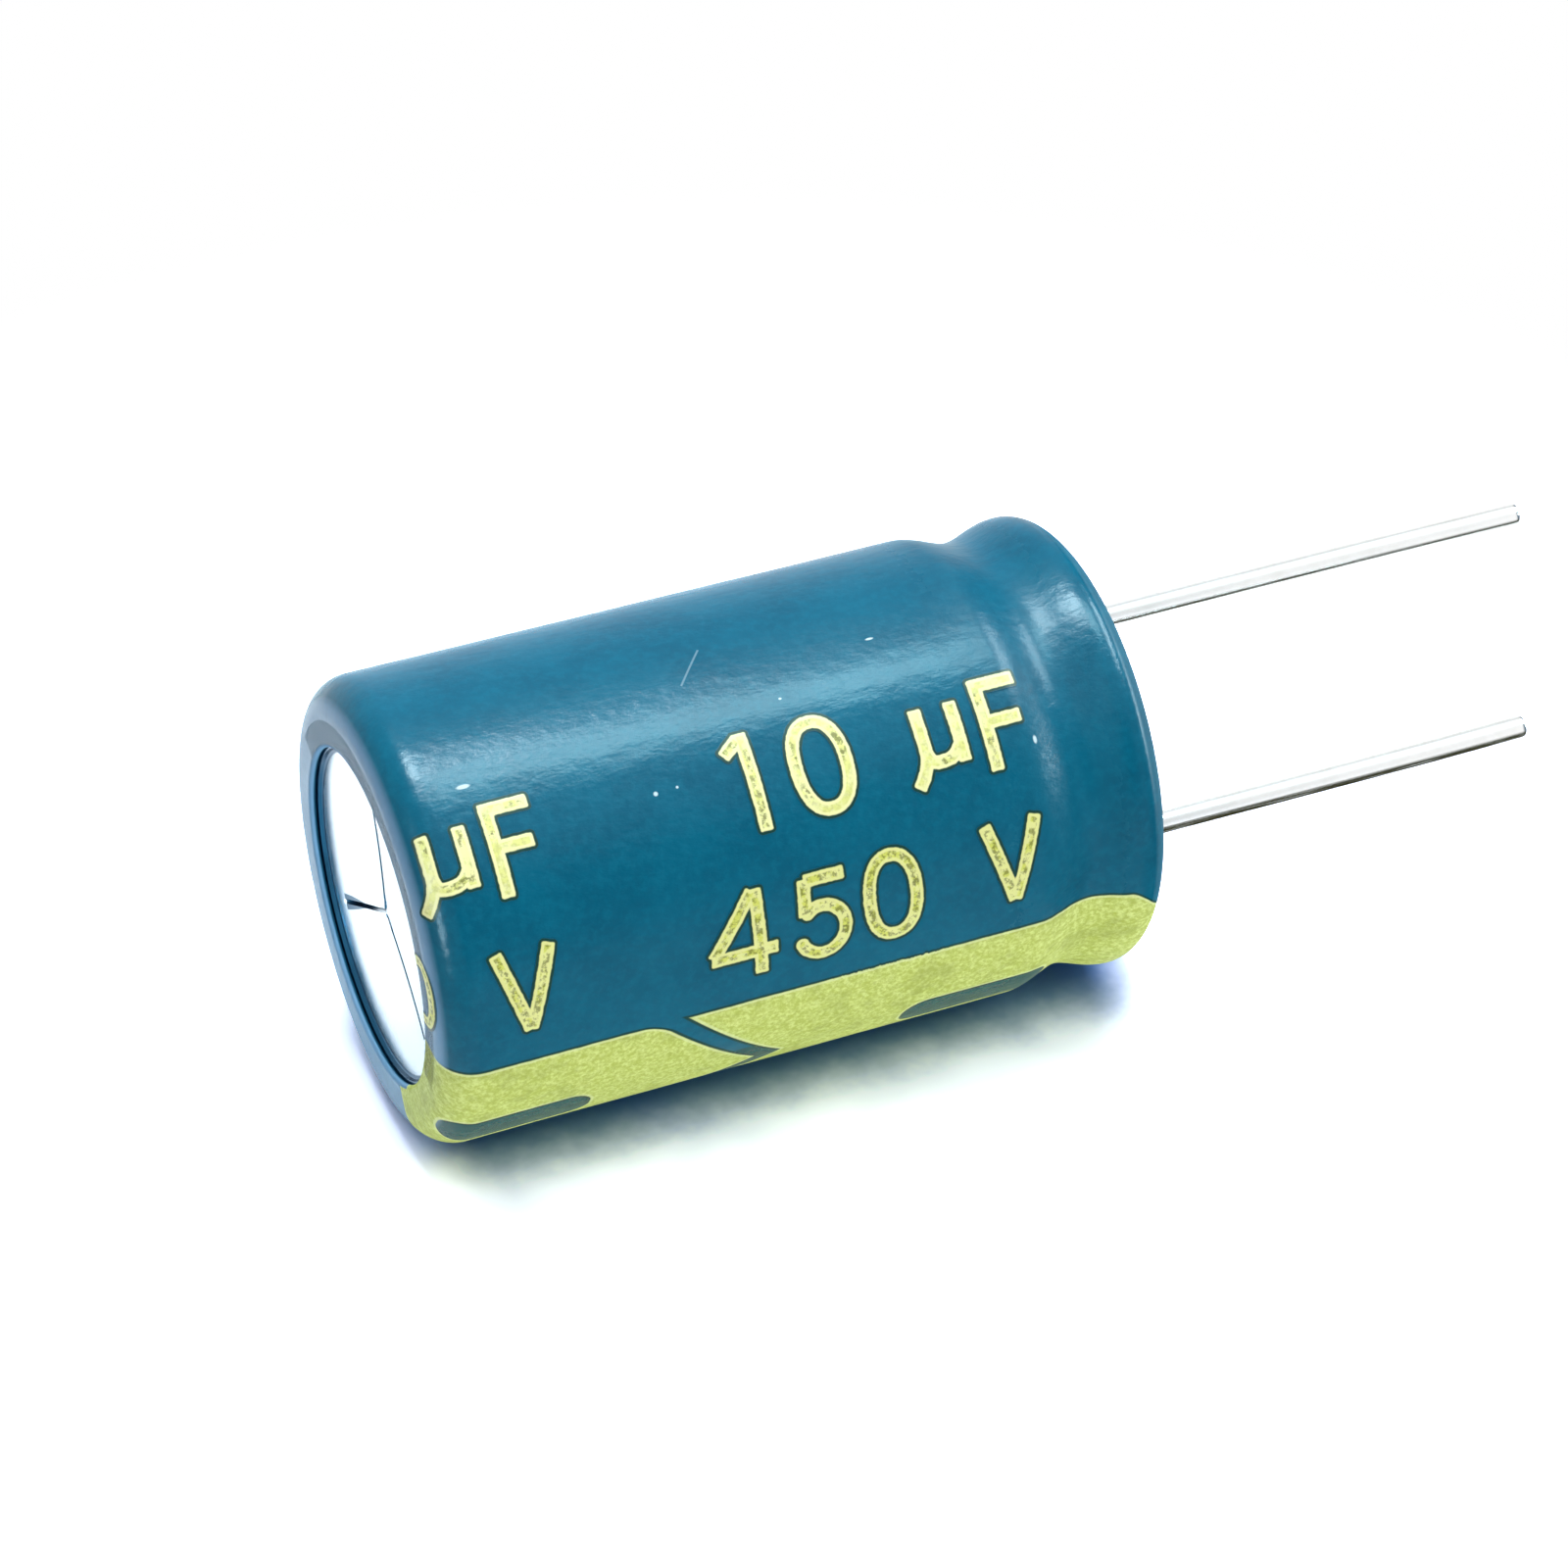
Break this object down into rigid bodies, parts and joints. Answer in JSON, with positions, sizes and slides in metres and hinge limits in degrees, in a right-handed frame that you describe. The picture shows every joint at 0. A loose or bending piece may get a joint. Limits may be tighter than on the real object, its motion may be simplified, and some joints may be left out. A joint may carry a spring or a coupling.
{
  "type": "electrolytic capacitor",
  "caption": "Radial aluminium electrolytic capacitor: a scored can in a shrunk blue sleeve, a wound foil element, a rubber bung and two wire leads.",
  "frame": {"origin": "on the can's axis, in the plane of the sleeve's lip at the vent end, on which the part stands", "axes": "+Z along the axis from the vent end to the leads; X runs through both leads, with the cathode and its stripe at +X and the anode at -X; the print faces -Y"},
  "size_m": [0.01, 0.01, 0.0282],
  "materials": {
    "sleeve_film": "glossy shrunk film, teal blue with pale gold print",
    "can_metal": "bright drawn aluminium",
    "bung_rubber": "matt black rubber",
    "tinned_wire": "bright tin plate",
    "tab_metal": "rolled aluminium",
    "etched_foil": "etched matt grey",
    "plain_foil": "thin bright foil",
    "soaked_paper": "paper soaked with electrolyte",
    "tape_film": "thin adhesive film"
  },
  "bodies": {
    "root": {"sleeve": "sleeve_film", "can": "can_metal", "bung": "bung_rubber", "anode_lead": "tinned_wire", "cathode_lead": "tinned_wire", "anode_tab": "tab_metal", "cathode_tab": "tab_metal", "anode_foil": "etched_foil", "cathode_foil": "plain_foil", "separator_inner": "soaked_paper", "separator_outer": "soaked_paper", "closing_tape": "tape_film"}
  },
  "joints": []
}
